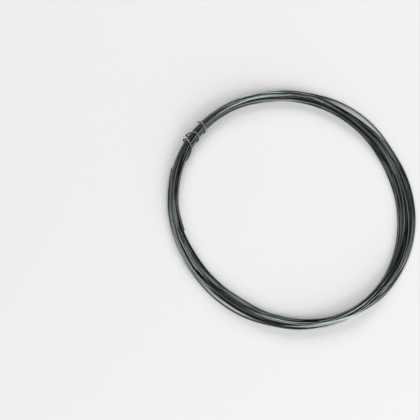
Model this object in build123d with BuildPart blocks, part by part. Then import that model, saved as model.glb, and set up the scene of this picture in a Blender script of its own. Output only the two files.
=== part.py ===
"""A coil of dark aluminium wire: a loose oval bundle of turns, bound by the wire's own tail.

Millimetres, +Z up. The coil lies flat on the floor, which is z = 0. +X runs along its longer
axis, and the binding is at the -X end. Angles are in degrees round +Z, from +X, and one lap of
them is one turn of the wire.
"""

import os
from math import cos, pi, radians, sin, tan

from build123d import *

os.makedirs("parts", exist_ok=True)

# The wire
wire_diameter = 1.0
wire_sides = 8  # where the wire shows by itself it is eight-sided, near enough round at this size
turns = 36
packing = 0.8  # share of the bundle's section that is metal

# The oval that the middle of the bundle follows
half_length = 93.3
half_breadth = 83.6
corner_reach = 0.37  # it also bulges a little at three places, of which this is the first
corner_angle = 100

# How wide the bundle lies, seen from above: it is drawn in at the binding and fans out elsewhere
mean_width = 9.4
lean_width = 1.6  # wider on one side of the coil
lean_angle = 23
fan_width = 2.0  # wide twice in a lap
fan_angle = 57
skew_width = 1.15  # wide three times in a lap
skew_angle = 39
ripple_width = 0.55  # wide four times in a lap
ripple_angle = 38

# The turns that show on the bundle's surface
shown_turns = 20
groove_depth = 0.3
drift = 0.8  # how many places a shown turn moves round the bundle and back in one lap
span_ends = (152, 212, 282, 334, 430, 512)  # where the lofted spans of the bundle meet
station_step = 8  # degrees between the sections of a span, at most

# The tail, wound round the bundle in a helix that is tight at its cut end and loose at its root
wrap_start = 175.5
wrap_count = 3
first_pitch = 7.5
pitch_growth = 3.6
wrap_clearance = 0.3
wrap_slack = 0.25  # how much further out each wrap stands than the one before
tail_end = 1.5  # degrees from the cut end of the tail to its first wrap
tail_root = 8  # and from its last wrap to where it comes out of the bundle
lift_sharpness = 16  # the higher, the shorter the stretch that the wraps hold off the floor

# Stray turns, each between two angles, and how far each bows out of the bundle's outer side
stray_turns = ((72, 126, 3.9), (236, 300, 3.0))
stray_points = 8
root_depth = 1.4  # depth below the bundle's edge at which a wire leaves it

# The wire's other end, which comes out on the bundle's inner side
inner_end_angle = 230
inner_end_length = 14
inner_end_gap = 0.2

wire_radius = wire_diameter / 2
bundle_area = turns * pi * wire_radius**2 / packing
lift_height = wire_diameter + wrap_clearance


def middle_radius(angle):
    """How far the middle of the bundle is from the coil's centre."""
    oval = (half_length - half_breadth) / 2 * cos(radians(2 * angle))
    corners = corner_reach * cos(radians(3 * (angle - corner_angle)))
    return (half_length + half_breadth) / 2 + oval + corners


def degrees_along(length):
    """The angle that a length along the bundle takes up near the binding."""
    return length / half_length * 180 / pi


def width(angle):
    """Width of the bundle, seen from above."""
    lean = lean_width * cos(radians(angle - lean_angle))
    fan = fan_width * cos(radians(2 * (angle - fan_angle)))
    skew = skew_width * cos(radians(3 * (angle - skew_angle)))
    ripple = ripple_width * cos(radians(4 * (angle - ripple_angle)))
    return mean_width + lean + fan + skew + ripple


def height(angle):
    """Height of the bundle: its section keeps one area, so it is low where it is wide."""
    return 4 * bundle_area / (pi * width(angle))


def wrap_angle(wraps):
    """Where the tail is after a number of wraps, each a little further on than the last."""
    return wrap_start + degrees_along(wraps * (first_pitch + pitch_growth * (wraps - 1) / 2))


wrap_middle = (wrap_start + wrap_angle(wrap_count)) / 2


def lift(angle):
    """How far the wraps hold the bundle off the floor."""
    return lift_height * cos(radians(angle - wrap_middle) / 2) ** lift_sharpness


def middle_level(angle):
    """Height over the floor of the middle of the bundle."""
    return lift(angle) + height(angle) / 2


def place(angle, offset, level):
    """A point at an angle, offset outwards from the bundle's middle, at a height over the floor."""
    reach = middle_radius(angle) + offset
    return (reach * cos(radians(angle)), reach * sin(radians(angle)), level)


def bundle_plane(angle):
    """The plane that cuts the bundle across, with its x outwards and its y upwards."""
    outwards = (cos(radians(angle)), sin(radians(angle)), 0)
    along = (sin(radians(angle)), -cos(radians(angle)), 0)
    return Plane(place(angle, 0, middle_level(angle)), x_dir=outwards, z_dir=along)


def bundle_outline(angle):
    """The bundle's outline: an ellipse, with the back of one turn beside the next."""
    pitch = 2 * pi / shown_turns
    shift = drift * sin(radians(angle - fan_angle))
    points = []
    for turn in range(shown_turns):
        for share, depth in ((0, groove_depth), (0.5, 0)):
            around = (turn + share + shift) * pitch
            across = (width(angle) / 2 - depth) * cos(around)
            points.append((across, (height(angle) / 2 - depth) * sin(around)))
    return points


def bundle_span(first, last):
    """The bundle between two angles, lofted through sections at even steps."""
    steps = -((first - last) // station_step)
    with BuildPart() as span:
        for step in range(steps + 1):
            angle = first + (last - first) * step / steps
            with BuildSketch(bundle_plane(angle)):
                with BuildLine():
                    Polyline(*bundle_outline(angle), close=True)
                make_face()
        loft()
    return span.part


def tail_route():
    """From the tail's cut end on the outer side: over the top, back below, and into the bundle."""
    end = wrap_start - tail_end
    stand_off = wrap_clearance + wire_radius
    points = [place(end, width(end) / 2 + stand_off, middle_level(end))]
    for wrap in range(wrap_count):
        reach = stand_off + wrap * wrap_slack
        for corner, (side, on_top) in enumerate(((1, True), (-1, True), (-1, False), (1, False))):
            angle = wrap_angle(wrap + corner / 4)
            level = lift(angle) + height(angle) + stand_off if on_top else wire_radius
            points.append(place(angle, side * (width(angle) / 2 + reach), level))
    root = wrap_angle(wrap_count) + tail_root
    points.append(place(root, width(root) / 2 - root_depth, middle_level(root)))
    return points


def stray_route(start, end, bow):
    """A turn that leaves the bundle's outer side, bows away from it and comes back."""
    points = []
    for k in range(stray_points):
        share = k / (stray_points - 1)
        angle = start + share * (end - start)
        offset = width(angle) / 2 - root_depth + bow * sin(pi * share)
        points.append(place(angle, offset, middle_level(angle)))
    return points


def inner_end_route():
    """The wire's other end, from inside the bundle to its cut end on the inner side."""
    start = inner_end_angle - degrees_along(inner_end_length)
    turn = (start + inner_end_angle) / 2
    gap = wire_radius + inner_end_gap
    return [
        place(start, root_depth - width(start) / 2, middle_level(start)),
        place(turn, -width(turn) / 2, middle_level(turn)),
        place(inner_end_angle, -width(inner_end_angle) / 2 - gap, middle_level(inner_end_angle)),
    ]


def wire_line(points):
    """Straight runs joined by tangent arcs, each as large as its two runs allow."""
    corners = [Vector(*point) for point in points]
    bends = []
    for before, corner, after in zip(corners, corners[1:], corners[2:]):
        first, second = corner - before, after - corner
        shorter = min(first.length, second.length)
        bends.append(0.45 * shorter / tan(radians(first.get_angle(second)) / 2))
    return FilletPolyline(*points, radius=bends)


def wire_along(points):
    """One stretch of the wire along a route."""
    with BuildPart() as stretch:
        with BuildLine() as line:
            wire_line(points)
        path = line.wire()
        with BuildSketch(Plane(path @ 0, z_dir=path % 0)):
            RegularPolygon(wire_radius, wire_sides)
        sweep(path=path)
    return stretch.part


spans = [bundle_span(first, last) for first, last in zip(span_ends, span_ends[1:])]
strays = [wire_along(stray_route(*stray)) for stray in stray_turns]
tail = wire_along(tail_route())
inner_end = wire_along(inner_end_route())

with BuildPart() as wire_coil:
    add(spans + strays + [tail, inner_end], clean=False)

# The origin is the middle of the box that the coil fills, on the floor
box = wire_coil.part.bounding_box()
wire_coil.part = wire_coil.part.moved(Location((-box.center().X, -box.center().Y, -box.min.Z)))
wire_coil.part.label = "wire_coil"
export_step(wire_coil.part, "parts/wire_coil.step")
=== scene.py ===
"""The coil of dark aluminium wire, as it looks: one wire of 36 loose turns, bound by its own tail.

Metres and +Z up for Blender. The coil is worked out in millimetres and in angles round +Z, as in
the CAD part: a place in the bundle is an angle, an offset outwards from the bundle's middle line
and a level over the floor.
"""

from math import cos, pi, radians, sin

import bmesh
import bpy
import numpy as np
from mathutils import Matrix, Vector


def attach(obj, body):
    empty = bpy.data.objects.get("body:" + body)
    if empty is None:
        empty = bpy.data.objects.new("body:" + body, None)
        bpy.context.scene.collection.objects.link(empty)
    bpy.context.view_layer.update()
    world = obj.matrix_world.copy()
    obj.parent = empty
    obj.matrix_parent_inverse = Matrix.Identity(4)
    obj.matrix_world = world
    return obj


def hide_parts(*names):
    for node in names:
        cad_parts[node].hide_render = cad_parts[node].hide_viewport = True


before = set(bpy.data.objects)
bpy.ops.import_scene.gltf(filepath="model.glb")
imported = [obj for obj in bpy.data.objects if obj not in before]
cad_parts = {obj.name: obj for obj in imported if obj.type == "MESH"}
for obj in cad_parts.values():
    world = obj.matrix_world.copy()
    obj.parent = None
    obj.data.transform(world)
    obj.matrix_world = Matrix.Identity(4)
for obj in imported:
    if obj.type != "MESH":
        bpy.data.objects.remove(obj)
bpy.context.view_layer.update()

MM = 0.001

# ---- The wire
WIRE = 1.0  # its diameter
RADIUS = WIRE / 2
TURNS = 36
STATIONS = 60  # control points in a turn
STEP = 360 / STATIONS  # degrees
CUT_END = 231  # where the wire begins, on the bundle's inner side
LAST = 207  # where its last turn ends and the tail begins, on the outer side

# ---- The camera: straight above, the longer axis of the coil pointing to the lower right
OVAL_CENTRE = (0.0, -0.4)  # of the bundle's middle line, from the origin
PIXEL = 0.77  # mm of floor to a pixel of the photograph
PHOTO = 420
COIL_AT = (290.3, 209.8)  # the pixel over the oval's centre
TURNED = 40  # degrees from the photograph's right to the coil's own axis
CAMERA_HEIGHT = 1600
SENSOR = 36

right = np.array((cos(radians(TURNED)), sin(radians(TURNED))))
up = np.array((-right[1], right[0]))
aside = right * (PHOTO / 2 - COIL_AT[0]) * PIXEL + up * (COIL_AT[1] - PHOTO / 2) * PIXEL
lens = bpy.data.cameras.new("camera")
lens.sensor_width = SENSOR
lens.lens = SENSOR * CAMERA_HEIGHT / (PHOTO * PIXEL)
lens.clip_start, lens.clip_end = 0.05, 20
camera = bpy.data.objects.new("camera", lens)
camera.location = (
    (OVAL_CENTRE[0] + aside[0]) * MM,
    (OVAL_CENTRE[1] + aside[1]) * MM,
    CAMERA_HEIGHT * MM,
)
camera.rotation_euler = (0, 0, radians(TURNED))
bpy.context.scene.collection.objects.link(camera)
bpy.context.scene.camera = camera


# ---- The bundle that the turns fill
# Its middle line and its width swing round a mean: how much, how often in a lap, and where the
# first crest is
MEAN_RADIUS, RADIUS_SWINGS = 88.43, ((4.86, 2, 0), (0.37, 3, 100))
MEAN_WIDTH = 9.42
WIDTH_SWINGS = ((1.57, 1, 23), (2.03, 2, 57), (1.15, 3, 39), (0.55, 4, 38), (0.41, 6, 8))
PACKING = 0.8  # share of its section that is metal

# Where it is narrower than that, because turns part from it, or a little wider (a depth below 0):
# angle, reach and depth
OUTER_NOTCHES = ((356, 14, 2.8), (280, 15, 1.0), (26, 22, -0.35), (62, 14, -0.45), (97, 15, 0.9))
INNER_NOTCHES = ((283, 12, 2.1), (226, 9, 0.6), (145, 12, -0.6), (304, 9, -0.7))

# Where the wraps hold it off the floor, round the binding: angle, reach and height
LIFTS = ((183, 26, 1.15),)


def swinging(mean, swings, angle):
    """A measure that swings round its mean as the angle goes round the coil."""
    waves = (much * np.cos(np.radians(often * (angle - crest))) for much, often, crest in swings)
    return sum(waves, mean)


def humped(humps, angle):
    """Smooth humps, each at an angle of its own."""
    total = 0
    for at, reach, height in humps:
        away = (angle - at + 180) % 360 - 180
        total = total + height * np.exp(-((away / reach) ** 2))
    return total


def edges(angle):
    """Offsets of the bundle's inner and outer edge."""
    half = swinging(MEAN_WIDTH, WIDTH_SWINGS, angle) / 2
    return humped(INNER_NOTCHES, angle) - half, half - humped(OUTER_NOTCHES, angle)


# ---- Where each turn lies in the bundle
# Across the bundle and up and down in it, a turn drifts from place to place: over how many
# stations, and the seed of its drift
DRIFT_ACROSS, DRIFT_UPWARD = (34, 5), (26, 9)

# Turns that stand away from the bundle and lie on the floor: angle, and the offset of the wire's
# middle from the coil's middle line
STRAYS = (
    ((70, 6.6), (76, 7.0), (84, 7.3), (92, 7.3), (100, 6.9), (108, 6.1), (116, 5.2), (124, 4.2)),
    ((234, 4.4), (244, 5.1), (254, 5.9), (264, 6.4), (272, 6.6), (280, 6.45), (290, 6.1),
     (300, 5.3)),
    ((264, -5.1), (272, -5.3), (282, -5.35), (290, -5.2), (298, -4.7)),
    ((336, 1.6), (342, 2.5), (346, 3.2), (351, 4.1), (356, 4.8), (361, 5.1), (366, 5.1),
     (374, 5.1)),
    ((340, 0.9), (345, 1.5), (350, 2.1), (355, 2.8), (360, 3.4), (366, 3.9), (373, 4.3)),
    ((348, 0.3), (354, 0.8), (360, 1.6), (366, 2.6), (372, 3.5)),
    ((312, 4.0), (320, 3.8), (328, 3.1), (336, 2.8)),
)
STRAY_CLEARANCE = 0.1  # over the floor
STRAY_HOLD, STRAY_GRIP = 0.4, 0.3  # at its ends, and how much more at each next point

# Turns that ride on top of the others for a stretch, and catch the light
RIDGES = (
    ((236, 0.6), (246, 0.4), (256, 0.1), (266, -0.2)),
    ((327, -0.6), (334, 0.4), (340, 1.6), (345, 2.6)),
    ((50, 0.9), (57, 0.5), (64, 0.1), (71, -0.4)),
    ((23, 1.4), (28, 1.3), (34, 1.3), (39, 1.1)),
    ((224, -2.0), (236, -2.2), (248, -2.4), (260, -2.6), (272, -2.8)),
    ((230, -0.8), (240, -1.0), (252, -1.2), (262, -1.5)),
)
RIDGE_CLEARANCE = 0.2  # over the bundle's top
RIDGE_HOLD = 0.5

# Lines along which the upper turns part, so that the bundle is dark there: how far a turn's
# middle stays from the line, then its way
FURROWS = (
    (1.15, ((226, 1.0), (232, 1.2), (240, 1.5), (250, 1.9), (264, 2.2), (280, 2.4))),
    (0.9, ((144, 1.9), (152, 1.5), (162, 1.0), (172, 0.6))),
    (0.8, ((146, -0.9), (160, -1.0), (172, -0.8))),
    (0.8, ((130, -2.1), (138, -2.0), (148, -2.0))),
    (0.8, ((302, 2.3), (312, 2.5), (322, 2.3), (332, 1.7))),
    (0.8, ((300, 0.4), (314, 0.3), (328, 0.0), (338, -0.6))),
    (0.8, ((300, -2.0), (314, -2.0), (330, -1.7))),
    (0.8, ((345, 0.0), (358, 0.3), (370, 0.8))),
    (0.8, ((40, -2.6), (56, -2.8), (72, -2.5), (84, -2.2))),
    (0.8, ((56, 2.4), (70, 2.1), (84, 1.4), (98, 1.0))),
)
FURROW_LEVEL = 0.8  # over the floor, above which turns part
NOWHERE = 99  # an offset that no turn has

LEVEL_MATTERS = 0.4  # how much height counts beside offset, where a turn is chosen for a way

# The wire's two ends: the first points come out of the bundle on its inner side, and the last
# ones, before the tail, come out on its outer side
CUT_END_OFFSETS = (-4.6, -4.1, -3.7, -3.5)
CUT_END_LEVEL = 2.9
CUT_END_RELEASE = 0.2  # how much less each next point is held
ROOT_POINTS = 10
ROOT_OUT = 0.15  # past the bundle's edge
ROOT_HEIGHT = 0.35  # share of the bundle's height

# How the turns come to rest. Most of these are shares that one step takes away: of a bend, of the
# way back to a turn's own place across the bundle, to the bundle's edge, to the top of the floor,
# to a held place and out of a furrow, and of the overlap of two turns
SETTLING = 2000  # steps
STIFFNESS = 0.1
SOFTENING = 0.3  # how much less stiff the wire is in the end
SINKING = 0.01  # mm in a step
OWN_PLACE, EDGE_PLACE, FLOOR_PLACE, HELD_PLACE = 0.03, 0.6, 0.7, 0.4
LIFTED_UNTIL = 0.3  # share of the steps after which the turns on top are let go
PARTING = 0.2
OVERLAP, LARGEST_PUSH = 0.42, 0.25
FAR_AWAY = 1e4  # where the grid has places without a wire


def wander(count, reach, seed):
    """A smooth random line along the wire: how far it has drifted across the bundle."""
    wide = 4 * reach
    noise = np.random.default_rng(seed).normal(size=count + 2 * wide)
    window = np.exp(-0.5 * (np.arange(-wide, wide + 1) / reach) ** 2)
    return np.convolve(noise, window / window.sum(), "valid")[:count]


def shares(line, station):
    """The rank of each turn among those at its station, from 0 to 1."""
    rank = np.zeros(len(line))
    for at in range(STATIONS):
        here = np.flatnonzero(station == at)
        rank[here[np.argsort(line[here])]] = (np.arange(len(here)) + 0.5) / len(here)
    return rank


def first_places(station):
    """Each point's place in a round bundle, across it and upwards, from -1 to 1."""
    sweep = np.linspace(-1, 1, 201)
    filled = 0.5 + (sweep * np.sqrt(1 - sweep**2) + np.arcsin(sweep)) / pi
    count = len(station)
    across = np.interp(shares(wander(count, *DRIFT_ACROSS), station), filled, sweep)
    upward = 2 * shares(wander(count, *DRIFT_UPWARD), station) - 1
    return across, upward * np.sqrt(1 - across**2)


def stretch(way, angle, turn):
    """The points of a turn that a way spans, and the way's offsets and angles there."""
    at, out = np.array(way).T
    here = angle + 360 * turn
    near = (here >= at[0]) & (here <= at[-1])
    return near, np.interp(here[near], at, out), here[near]


def held_places(angle, home, level, outer, floor, tall):
    """Where strays, ridges and ends are held: offset, level, how firmly, and which ride on top."""
    hold, on_top = np.zeros(len(angle)), np.zeros(len(angle), bool)
    held_offset, held_level = home.copy(), level.copy()
    free_turns = list(range(1, TURNS))
    for way in STRAYS + RIDGES:
        is_ridge = way in RIDGES
        goal = floor + tall if is_ridge else floor

        def strangeness(turn):
            """How far a turn is from this way by itself."""
            near, away, _ = stretch(way, angle, turn)
            too_high = np.abs(level[near] - goal[near]).mean()
            return np.abs(home[near] - away).mean() + LEVEL_MATTERS * too_high

        turn = min(free_turns, key=strangeness)
        free_turns.remove(turn)
        near, away, here = stretch(way, angle, turn)
        held_offset[near] = away
        if is_ridge:
            held_level[near] = floor[near] + (tall[near] + RIDGE_CLEARANCE)
            hold[near] = RIDGE_HOLD
        else:
            to_end = np.minimum(here - way[0][0], way[-1][0] - here) / STEP
            held_level[near] = floor[near] + STRAY_CLEARANCE
            hold[near] = np.clip(STRAY_HOLD + STRAY_GRIP * to_end, 0, 1)
        on_top[near] = is_ridge
    for at, out in enumerate(CUT_END_OFFSETS):
        held_offset[at], held_level[at], hold[at] = out, CUT_END_LEVEL, 1 - CUT_END_RELEASE * at
    for back in range(ROOT_POINTS):
        at = len(angle) - 1 - back
        held_offset[at] = outer[at] - RADIUS + ROOT_OUT
        held_level[at] = floor[at] + ROOT_HEIGHT * tall[at]
        hold[at] = 1 - back / ROOT_POINTS
    return held_offset, held_level, hold, on_top


def settle(angle, offset, level, inner, outer, floor, held):
    """The turns come to rest on the floor and on each other."""
    held_offset, held_level, hold, on_top = held
    furrows = [(clear, np.interp(angle % 360, *np.array(way).T, left=NOWHERE, right=NOWHERE))
               for clear, way in FURROWS]
    home, count, rows = offset.copy(), len(offset), TURNS + 1
    grid = np.full((2, rows * STATIONS), FAR_AWAY)
    grid[:, count:] += np.arange(rows * STATIONS - count) * 10
    from_itself = np.eye(rows)[:, :, None] * 1e3
    for step in range(SETTLING):
        late = step / SETTLING
        # the wire is stiff, and heavy
        stiffness = STIFFNESS * (1 - SOFTENING * late)
        for line in (offset, level):
            bend = line[:-4] - 4 * line[1:-3] + 6 * line[2:-2] - 4 * line[3:-1] + line[4:]
            ends = (line[[0, -1]] + line[[2, -3]]) / 2 - line[[1, -2]]
            line[2:-2] -= stiffness * bend
            line[[1, -2]] += 2 * stiffness * ends
        level -= SINKING
        # it keeps its share of the bundle's width, more and more loosely
        offset += OWN_PLACE * (1 - late) * (home - offset)
        # the bundle is held to its width, and the floor is under it
        past_outer = np.clip(offset - outer + RADIUS, 0, None)
        past_inner = np.clip(offset - inner - RADIUS, None, 0)
        offset -= EDGE_PLACE * (past_outer + past_inner) * (1 - hold)
        level += FLOOR_PLACE * np.maximum(floor - level, 0)
        # some turns are held, those on top only until the ones below have settled
        offset += HELD_PLACE * (held_offset - offset) * hold
        level += HELD_PLACE * (held_level - level) * hold * (1 - on_top * (late > LIFTED_UNTIL))
        for clear, furrow in furrows:
            from_line = offset - furrow
            parted = (abs(from_line) < clear) & (level > floor + FURROW_LEVEL) & (hold == 0)
            offset += PARTING * (clear * np.sign(from_line) - from_line) * parted
        # and no two turns are in one place
        for _ in range(2):
            grid[0, :count], grid[1, :count] = offset, level
            at = grid.reshape(2, rows, STATIONS)
            gap = at[:, :, None, :] - at[:, None, :, :]
            apart = np.sqrt((gap**2).sum(0)) + from_itself
            push = np.clip(WIRE - apart, 0, None) / np.maximum(apart, 1e-6) * OVERLAP
            moved = (gap * push).sum(2).reshape(2, -1)[:, :count]
            offset += np.clip(moved[0], -LARGEST_PUSH, LARGEST_PUSH)
            level += np.clip(moved[1], -LARGEST_PUSH, LARGEST_PUSH)
    return offset, np.maximum(level, floor)


def lay_turns():
    """Every control point of the turns, as angle, offset and level."""
    laps = CUT_END - LAST + 360 * TURNS
    number = np.arange(int(laps / STEP) + 1)
    angle = CUT_END - STEP * number
    inner, outer = edges(angle)
    wide, floor = outer - inner, humped(LIFTS, angle) + RADIUS
    tall = 4 * TURNS * RADIUS**2 / PACKING / wide
    across, upward = first_places(number % STATIONS)
    offset = (inner + outer) / 2 + across * (wide / 2 - RADIUS)
    level = floor - RADIUS + tall / 2 + upward * (tall / 2 - RADIUS)
    held = held_places(angle, offset, level, outer, floor, tall)
    return (angle, *settle(angle, offset, level, inner, outer, floor, held))


# ---- The tail, which dives under the bundle and winds round it from loose to tight: angle, side
# (0 outer, -90 below, -180 inner, -270 on top) and slack
TAIL = (
    (205, 0, -0.9), (203, -6, -0.7), (201.6, -14, -0.2), (200.7, -28, 0.3), (199.8, -58, 0.5),
    (198.2, -104, 0.1), (195.3, -150, 0.1), (193.4, -172, 0.2), (191.5, -188, 0.2),
    (189.7, -203, 0.2), (188, -223, 0.2), (186.7, -248, 0.1), (186, -280, 0), (185.8, -310, 0),
    (186, -333, 0.2), (186.4, -352, 0.6), (187, -368, 0.8), (187.2, -386, 0.5),
    (186.6, -412, 0.1), (185.4, -460, 0), (184.4, -500, 0.1), (183.6, -530, 0.3),
    (182.5, -560, 0.2), (181.3, -590, 0.1), (180.7, -625, 0), (181, -654, 0),
    (182.1, -680, 0.2), (183.4, -700, 0.7), (184.3, -715, 1.1), (184.8, -732, 1),
    (184.5, -752, 0.5), (183.3, -778, 0.1), (181.6, -810, 0), (179.8, -850, 0),
    (178.4, -890, 0.2), (177.2, -920, 0.2), (176.1, -955, 0), (175.6, -1000, 0),
    (175.6, -1035, 0.2), (176.1, -1062, 0.6), (176.7, -1084, 0.6),
)


def lay_tail(angle, offset, level):
    """Every control point of the tail, on an oval round the turns that it passes."""
    points = []
    for at, side, slack in TAIL:
        near = abs((angle % 360) - at) < 0.6 * STEP
        inner, outer = offset[near].min() - WIRE - slack, offset[near].max() + WIRE + slack
        low, high = level[near].min() - WIRE, level[near].max() + WIRE
        middle, half_tall = (low + high) / 2, (high - low) / 2 + slack / 2
        turned = radians(side)
        out = (outer + inner) / 2 + (outer - inner) / 2 * cos(turned)
        points.append((at, out, max(middle + half_tall * sin(turned), RADIUS)))
    return [np.array(column) for column in zip(*points)]


def place(angle, offset, level):
    """Points in space, in millimetres."""
    reach = swinging(MEAN_RADIUS, RADIUS_SWINGS, angle) + offset
    x = OVAL_CENTRE[0] + reach * np.cos(np.radians(angle))
    y = OVAL_CENTRE[1] + reach * np.sin(np.radians(angle))
    return np.stack((x, y, level), -1)


turns = lay_turns()
tail = lay_tail(*turns)
route = np.concatenate((place(*turns), place(*tail))) * MM

line = bpy.data.curves.new("aluminium_wire", "CURVE")
line.dimensions = "3D"
line.resolution_u = 3
line.bevel_depth = 1  # times each point's own radius
line.bevel_resolution = 3
line.use_fill_caps = True
spline = line.splines.new("NURBS")
spline.points.add(len(route) - 1)
spline.points.foreach_set("co", np.c_[route, np.ones(len(route))].ravel())
spline.points.foreach_set("radius", np.full(len(route), RADIUS * MM))
spline.order_u = 3
spline.use_endpoint_u = True
wire = bpy.data.objects.new("aluminium_wire", line)
bpy.context.scene.collection.objects.link(wire)

length = float(np.linalg.norm(np.diff(route, axis=0), axis=1).sum())

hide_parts("wire_coil")
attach(wire, "root")


# ---- Materials
class Value:
    """A number that varies over a surface: arithmetic on it adds the nodes that work it out."""

    def __init__(self, finish, socket):
        self.finish, self.socket = finish, socket

    def worked(self, operation, *numbers):
        return self.finish.node("Math", {"operation": operation}, dict(enumerate(numbers)))

    def beside(self, output):
        """Another output of the same node."""
        return Value(self.finish, self.socket.node.outputs[output])

    def __add__(self, other):
        return self.worked("ADD", self, other)

    def __rsub__(self, other):
        return self.worked("SUBTRACT", other, self)

    def __mul__(self, other):
        return self.worked("MULTIPLY", self, other)

    __radd__, __rmul__ = __add__, __mul__


class Finish:
    """A material and the nodes that make it."""

    def __init__(self, name):
        self.material = bpy.data.materials.new(name)
        self.material.use_nodes = True
        self.tree = self.material.node_tree
        self.shader = self.tree.nodes["Principled BSDF"]

    def node(self, kind, settings, sockets, output=0):
        """A new node of a kind: its settings, then the values or links of its sockets."""
        node = self.tree.nodes.new("ShaderNode" + kind)
        for name, value in settings.items():
            setattr(node, name, value)
        for name, value in sockets.items():
            self.feed(node.inputs[name], value)
        return Value(self, node.outputs[output])

    def feed(self, socket, value):
        if isinstance(value, Value):
            self.tree.links.new(value.socket, socket)
        else:
            socket.default_value = value

    def between(self, value, low, high):
        """0 below low and 1 above high, with a smooth rise between."""
        return self.node("MapRange", {"interpolation_type": "SMOOTHSTEP"},
                         {"Value": value, "From Min": low, "From Max": high})

    def blend(self, share, first, second):
        """A colour between two."""
        return self.node("Mix", {"data_type": "RGBA"}, {0: share, 6: first, 7: second}, 2)


THICK_OXIDE, THIN_OXIDE = (0.03, 0.038, 0.033, 1), (0.33, 0.37, 0.34, 1)
WORN_METAL = (0.5, 0.51, 0.51, 1)

# Painted highlights and painted shade: patches of the wire made lighter or darker for how the
# light falls on that part of the coil: x, y, how far that reaches, and how much lighter the wire
# is there
PAINTED_LIGHT_AND_SHADE = (
    (-92, 6, 46, -0.65), (58, 66, 28, -0.45), (12, -83, 32, -0.55), (-36, -78, 34, 1.4),
    (89, -26, 36, 0.9), (-79, 45, 30, -0.15), (-5, 83, 34, -0.45), (89, 24, 24, -0.2),
)

# Shares of the wire's control points between which its last turn, darkened as painted shade, and
# its tail begin, and levels between which the top of the tail gets a painted highlight
SHADED_LAST_TURN, TAIL_BEGINS, PAINTED_HIGHLIGHT_LEVELS = (0.97, 0.978), (0.986, 0.9875), (5.2 * MM, 7 * MM)


def wire_finish(length):
    """Drawn aluminium under a dark, worn oxide: the tone drifts along the wire, and painted
    highlights and painted shade lie over parts of the coil.
    """
    finish = Finish("dark oxidised aluminium")
    passed = finish.node("SeparateXYZ", {}, {0: finish.node("UVMap", {"uv_map": "UVMap"}, {})})
    along = passed * (length / MM)
    round_it = passed.beside(1) * (2 * pi)
    side, top = round_it.worked("COSINE", round_it), round_it.worked("SINE", round_it)

    def mottle(patch, grain):
        """Noise with a length along the wire, in mm, and a fineness round it."""
        at = finish.node("CombineXYZ", {},
                         {0: along * (1 / patch), 1: side * grain, 2: top * grain})
        return finish.node("TexNoise", {}, {"Vector": at, "Scale": 1.0, "Detail": 2.0})

    drift, patches = mottle(70, 0.2), mottle(11, 0.5)
    draw_marks, dust = mottle(26, 4), mottle(2, 1.5)
    tone = finish.between(drift * 0.75 + patches * 0.13 + draw_marks * 0.12, 0.43, 0.56)
    spot = finish.node("TexCoord", {}, {}, 3)
    # painted highlights and painted shade, patch by patch over the coil
    for x, y, reach, lighter in PAINTED_LIGHT_AND_SHADE:
        away = finish.node("VectorMath", {"operation": "DISTANCE"},
                           {0: spot, 1: (x * MM, y * MM, 0)}, 1)
        tone = tone * (1 + lighter * (1 - finish.between(away, 0.25 * reach * MM, reach * MM)))
    # the last turn is darkened as painted shade, and the tail gets a painted highlight where it
    # lies on top
    level = finish.node("SeparateXYZ", {}, {0: spot}, 2)
    tone = tone * (1 - 0.8 * finish.between(passed, *SHADED_LAST_TURN))
    tone = tone + finish.between(passed, *TAIL_BEGINS) * finish.between(level, *PAINTED_HIGHLIGHT_LEVELS) * 0.65
    oxide_with_painted_light = finish.blend(tone, THICK_OXIDE, THIN_OXIDE)
    worn = finish.between(patches * 0.6 + dust * 0.4, 0.6, 0.7)
    bump = finish.node("Bump", {}, {"Height": draw_marks * 0.7 + dust * 0.3, "Strength": 0.05,
                                    "Distance": 0.04 * MM})
    surface = finish.shader.inputs
    finish.feed(surface["Base Color"], finish.blend(worn * 0.3, oxide_with_painted_light, WORN_METAL))
    surface["Metallic"].default_value = 1
    finish.feed(surface["Roughness"], 0.1 + 0.2 * drift + 0.1 * patches + 0.08 * draw_marks)
    finish.feed(surface["Normal"], bump)
    return finish.material


def floor_finish():
    finish = Finish("pale floor")
    finish.shader.inputs["Base Color"].default_value = (0.785, 0.785, 0.785, 1)
    finish.shader.inputs["Roughness"].default_value = 0.9
    return finish.material


wire.data.materials.append(wire_finish(length))

# ---- Floor and light
FLOOR_REACH = 3  # metres, from the coil to each side
LIGHT_DISTANCE = 2

shape = bmesh.new()
bmesh.ops.create_grid(shape, x_segments=1, y_segments=1, size=FLOOR_REACH)
floor_mesh = bpy.data.meshes.new("floor")
shape.to_mesh(floor_mesh)
shape.free()
floor_mesh.materials.append(floor_finish())
floor = bpy.data.objects.new("floor", floor_mesh)
bpy.context.scene.collection.objects.link(floor)


def softbox(name, toward, wide, tall, power):
    """A soft light that looks at the coil, placed by image directions: right, up and height."""
    light = bpy.data.lights.new(name, "AREA")
    light.shape = "RECTANGLE"
    light.size, light.size_y = wide, tall
    light.energy = power
    lamp = bpy.data.objects.new(name, light)
    way = Vector((*(right * toward[0] + up * toward[1]), toward[2])).normalized()
    lamp.location = way * LIGHT_DISTANCE
    lamp.rotation_euler = way.to_track_quat("Z", "Y").to_euler()
    bpy.context.scene.collection.objects.link(lamp)


softbox("window", (0.52, -0.85, 0.4), 2.2, 1.4, 45)
softbox("skylight", (0.5, -0.87, 1.5), 0.7, 0.7, 5)
softbox("lamp", (0.05, 1.0, 0.5), 1.5, 0.8, 29)
softbox("wall", (-0.87, -0.5, 0.7), 1.6, 1.4, 14)
softbox("door", (0.84, 0.54, 0.6), 1.4, 1.2, 4.5)

world = bpy.data.worlds.new("studio")
bpy.context.scene.world = world
world.use_nodes = True
world.node_tree.nodes["Background"].inputs["Color"].default_value = (1, 1, 1, 1)
world.node_tree.nodes["Background"].inputs["Strength"].default_value = 0.17
bpy.context.scene.view_settings.view_transform = "Standard"

bpy.context.view_layer.update()
